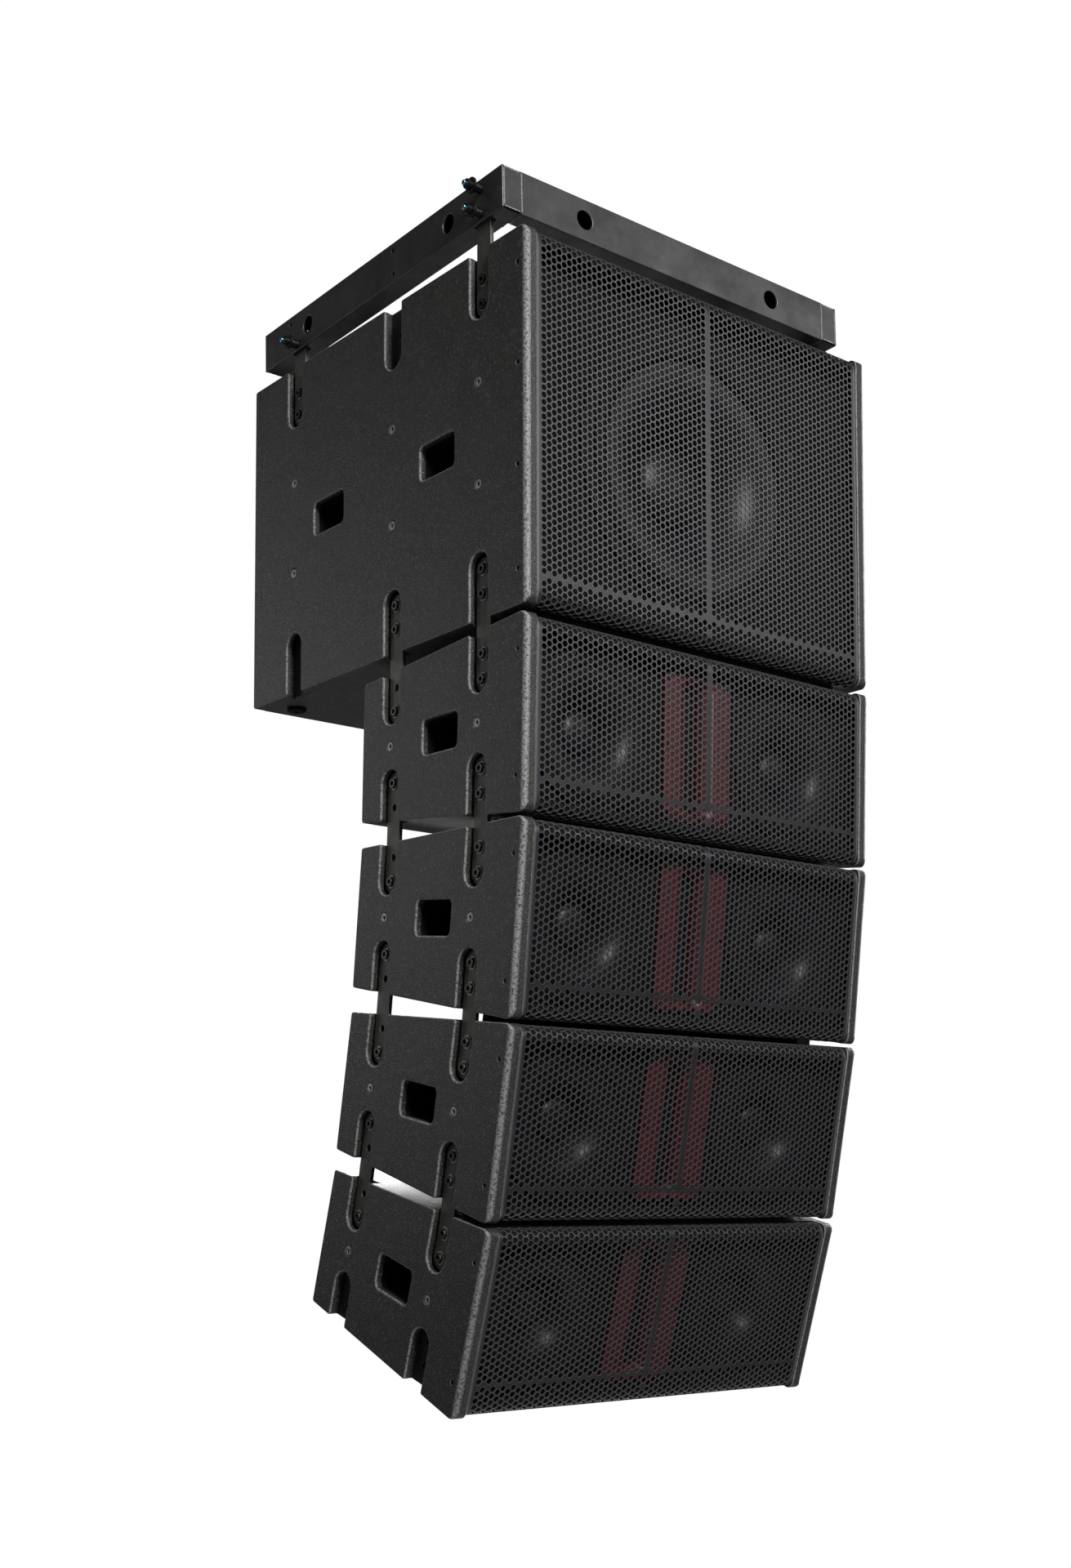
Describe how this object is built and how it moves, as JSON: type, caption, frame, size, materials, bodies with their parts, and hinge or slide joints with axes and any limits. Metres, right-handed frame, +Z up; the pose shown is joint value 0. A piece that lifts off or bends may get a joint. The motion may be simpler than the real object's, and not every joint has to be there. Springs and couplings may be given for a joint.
{
  "type": "line array speaker",
  "caption": "Flown line array: welded steel fly frame, deep subwoofer and wedge-shaped horn elements on steel link bars, each tilted further, with perforated steel grilles.",
  "frame": {"origin": "middle of the fly frame's top face, where the array hangs from", "axes": "+X along the cabinets' fronts, to the right of someone behind the array's left-hand side looking at its front; the fronts face -Y; +Z up"},
  "size_m": [0.648, 0.6802, 1.5638],
  "materials": {
    "cabinet_paint": "near-black textured speaker paint on plywood, fine raised speckle",
    "grille_steel": "satin dark-grey powder coat on perforated steel",
    "rigging_steel": "satin black paint on steel, scuffed at edges and welds",
    "pin_steel": "blackened and bright steel",
    "pin_button": "pale blue anodised",
    "woofer": "black paper cone, rubber surround and cast basket",
    "sub_driver": "black paper cone and cloth surround",
    "horn_red": "dark red moulded plastic",
    "amp_aluminium": "black anodised plate with cooling fins"
  },
  "bodies": {
    "rig": {"fly_frame": "rigging_steel", "sub_shell": "cabinet_paint", "sub_grille": "grille_steel", "sub_driver": "sub_driver", "frame_link_front_left": "rigging_steel", "frame_link_rear_left": "rigging_steel", "frame_link_front_right": "rigging_steel", "frame_link_rear_right": "rigging_steel", "front_link_1_left": "rigging_steel", "rear_link_1_left": "rigging_steel", "front_link_1_right": "rigging_steel", "rear_link_1_right": "rigging_steel"},
    "element_1": {"element_1_shell": "cabinet_paint", "element_1_grille": "grille_steel", "element_1_woofer_left": "woofer", "element_1_woofer_right": "woofer", "element_1_horn": "horn_red", "element_1_amp_panel": "amp_aluminium", "front_link_2_left": "rigging_steel", "front_link_2_right": "rigging_steel"},
    "element_2": {"element_2_shell": "cabinet_paint", "element_2_grille": "grille_steel", "element_2_woofer_left": "woofer", "element_2_woofer_right": "woofer", "element_2_horn": "horn_red", "element_2_amp_panel": "amp_aluminium", "front_link_3_left": "rigging_steel", "front_link_3_right": "rigging_steel"},
    "element_3": {"element_3_shell": "cabinet_paint", "element_3_grille": "grille_steel", "element_3_woofer_left": "woofer", "element_3_woofer_right": "woofer", "element_3_horn": "horn_red", "element_3_amp_panel": "amp_aluminium", "front_link_4_left": "rigging_steel", "front_link_4_right": "rigging_steel"},
    "element_4": {"element_4_shell": "cabinet_paint", "element_4_grille": "grille_steel", "element_4_woofer_left": "woofer", "element_4_woofer_right": "woofer", "element_4_horn": "horn_red", "element_4_amp_panel": "amp_aluminium"},
    "pin_front_lower_left": {"frame_pin_front_lower_left": "pin_steel"},
    "button_front_lower_left": {"pin_button_front_lower_left": "pin_button"},
    "pin_front_upper_left": {"frame_pin_front_upper_left": "pin_steel"},
    "button_front_upper_left": {"pin_button_front_upper_left": "pin_button"},
    "pin_rear_left": {"frame_pin_rear_left": "pin_steel"},
    "button_rear_left": {"pin_button_rear_left": "pin_button"},
    "pin_front_lower_right": {"frame_pin_front_lower_right": "pin_steel"},
    "button_front_lower_right": {"pin_button_front_lower_right": "pin_button"},
    "pin_front_upper_right": {"frame_pin_front_upper_right": "pin_steel"},
    "button_front_upper_right": {"pin_button_front_upper_right": "pin_button"},
    "pin_rear_right": {"frame_pin_rear_right": "pin_steel"},
    "button_rear_right": {"pin_button_rear_right": "pin_button"},
    "rear_links_2": {"rear_link_2_left": "rigging_steel", "rear_link_2_right": "rigging_steel"},
    "rear_links_3": {"rear_link_3_left": "rigging_steel", "rear_link_3_right": "rigging_steel"},
    "rear_links_4": {"rear_link_4_left": "rigging_steel", "rear_link_4_right": "rigging_steel"}
  },
  "joints": [
    {"name": "splay_1", "type": "hinge", "parent": "rig", "child": "element_1", "pos_m": [0, -0.23453, -0.61071], "axis": [1, 0, 0], "range_deg": [-1.7, 2.4]},
    {"name": "splay_2", "type": "hinge", "parent": "element_1", "child": "element_2", "pos_m": [0, -0.22096, -0.85333], "axis": [1, 0, 0], "range_deg": [-1.5, 2.4]},
    {"name": "rear_link_pivot_2", "type": "hinge", "parent": "element_1", "child": "rear_links_2", "pos_m": [0, -0.02924, -0.73544], "axis": [1, 0, 0], "range_deg": [-1, 1]},
    {"name": "splay_3", "type": "hinge", "parent": "element_2", "child": "element_3", "pos_m": [0, -0.18714, -1.09396], "axis": [1, 0, 0], "range_deg": [-1.5, 2.4]},
    {"name": "rear_link_pivot_3", "type": "hinge", "parent": "element_2", "child": "rear_links_3", "pos_m": [0, -0.00596, -0.96045], "axis": [1, 0, 0], "range_deg": [-1, 1]},
    {"name": "splay_4", "type": "hinge", "parent": "element_3", "child": "element_4", "pos_m": [0, -0.13248, -1.33073], "axis": [1, 0, 0], "range_deg": [-1.5, 2.4]},
    {"name": "rear_link_pivot_4", "type": "hinge", "parent": "element_3", "child": "rear_links_4", "pos_m": [0, 0.03637, -1.18194], "axis": [1, 0, 0], "range_deg": [-1, 1]},
    {"name": "pin_front_upper_left_pull", "type": "slide", "parent": "rig", "child": "pin_front_upper_left", "axis": [-1, 0, 0], "range_m": [0, 0.062]},
    {"name": "button_front_upper_left_press", "type": "slide", "parent": "pin_front_upper_left", "child": "button_front_upper_left", "axis": [1, 0, 0], "range_m": [0, 0.003], "stiffness_N_per_m": 400, "springref_m": -0.001},
    {"name": "pin_front_lower_left_pull", "type": "slide", "parent": "rig", "child": "pin_front_lower_left", "axis": [-1, 0, 0], "range_m": [0, 0.062]},
    {"name": "button_front_lower_left_press", "type": "slide", "parent": "pin_front_lower_left", "child": "button_front_lower_left", "axis": [1, 0, 0], "range_m": [0, 0.003], "stiffness_N_per_m": 400, "springref_m": -0.001},
    {"name": "pin_rear_left_pull", "type": "slide", "parent": "rig", "child": "pin_rear_left", "axis": [-1, 0, 0], "range_m": [0, 0.062]},
    {"name": "button_rear_left_press", "type": "slide", "parent": "pin_rear_left", "child": "button_rear_left", "axis": [1, 0, 0], "range_m": [0, 0.003], "stiffness_N_per_m": 400, "springref_m": -0.001},
    {"name": "pin_front_upper_right_pull", "type": "slide", "parent": "rig", "child": "pin_front_upper_right", "axis": [1, 0, 0], "range_m": [0, 0.062]},
    {"name": "button_front_upper_right_press", "type": "slide", "parent": "pin_front_upper_right", "child": "button_front_upper_right", "axis": [-1, 0, 0], "range_m": [0, 0.003], "stiffness_N_per_m": 400, "springref_m": -0.001},
    {"name": "pin_front_lower_right_pull", "type": "slide", "parent": "rig", "child": "pin_front_lower_right", "axis": [1, 0, 0], "range_m": [0, 0.062]},
    {"name": "button_front_lower_right_press", "type": "slide", "parent": "pin_front_lower_right", "child": "button_front_lower_right", "axis": [-1, 0, 0], "range_m": [0, 0.003], "stiffness_N_per_m": 400, "springref_m": -0.001},
    {"name": "pin_rear_right_pull", "type": "slide", "parent": "rig", "child": "pin_rear_right", "axis": [1, 0, 0], "range_m": [0, 0.062]},
    {"name": "button_rear_right_press", "type": "slide", "parent": "pin_rear_right", "child": "button_rear_right", "axis": [-1, 0, 0], "range_m": [0, 0.003], "stiffness_N_per_m": 400, "springref_m": -0.001}
  ],
  "couplings": [
    {"joint": "rear_link_pivot_2", "follows": "splay_2", "ratio": 0.18},
    {"joint": "rear_link_pivot_3", "follows": "splay_3", "ratio": 0.18},
    {"joint": "rear_link_pivot_4", "follows": "splay_4", "ratio": 0.18}
  ]
}
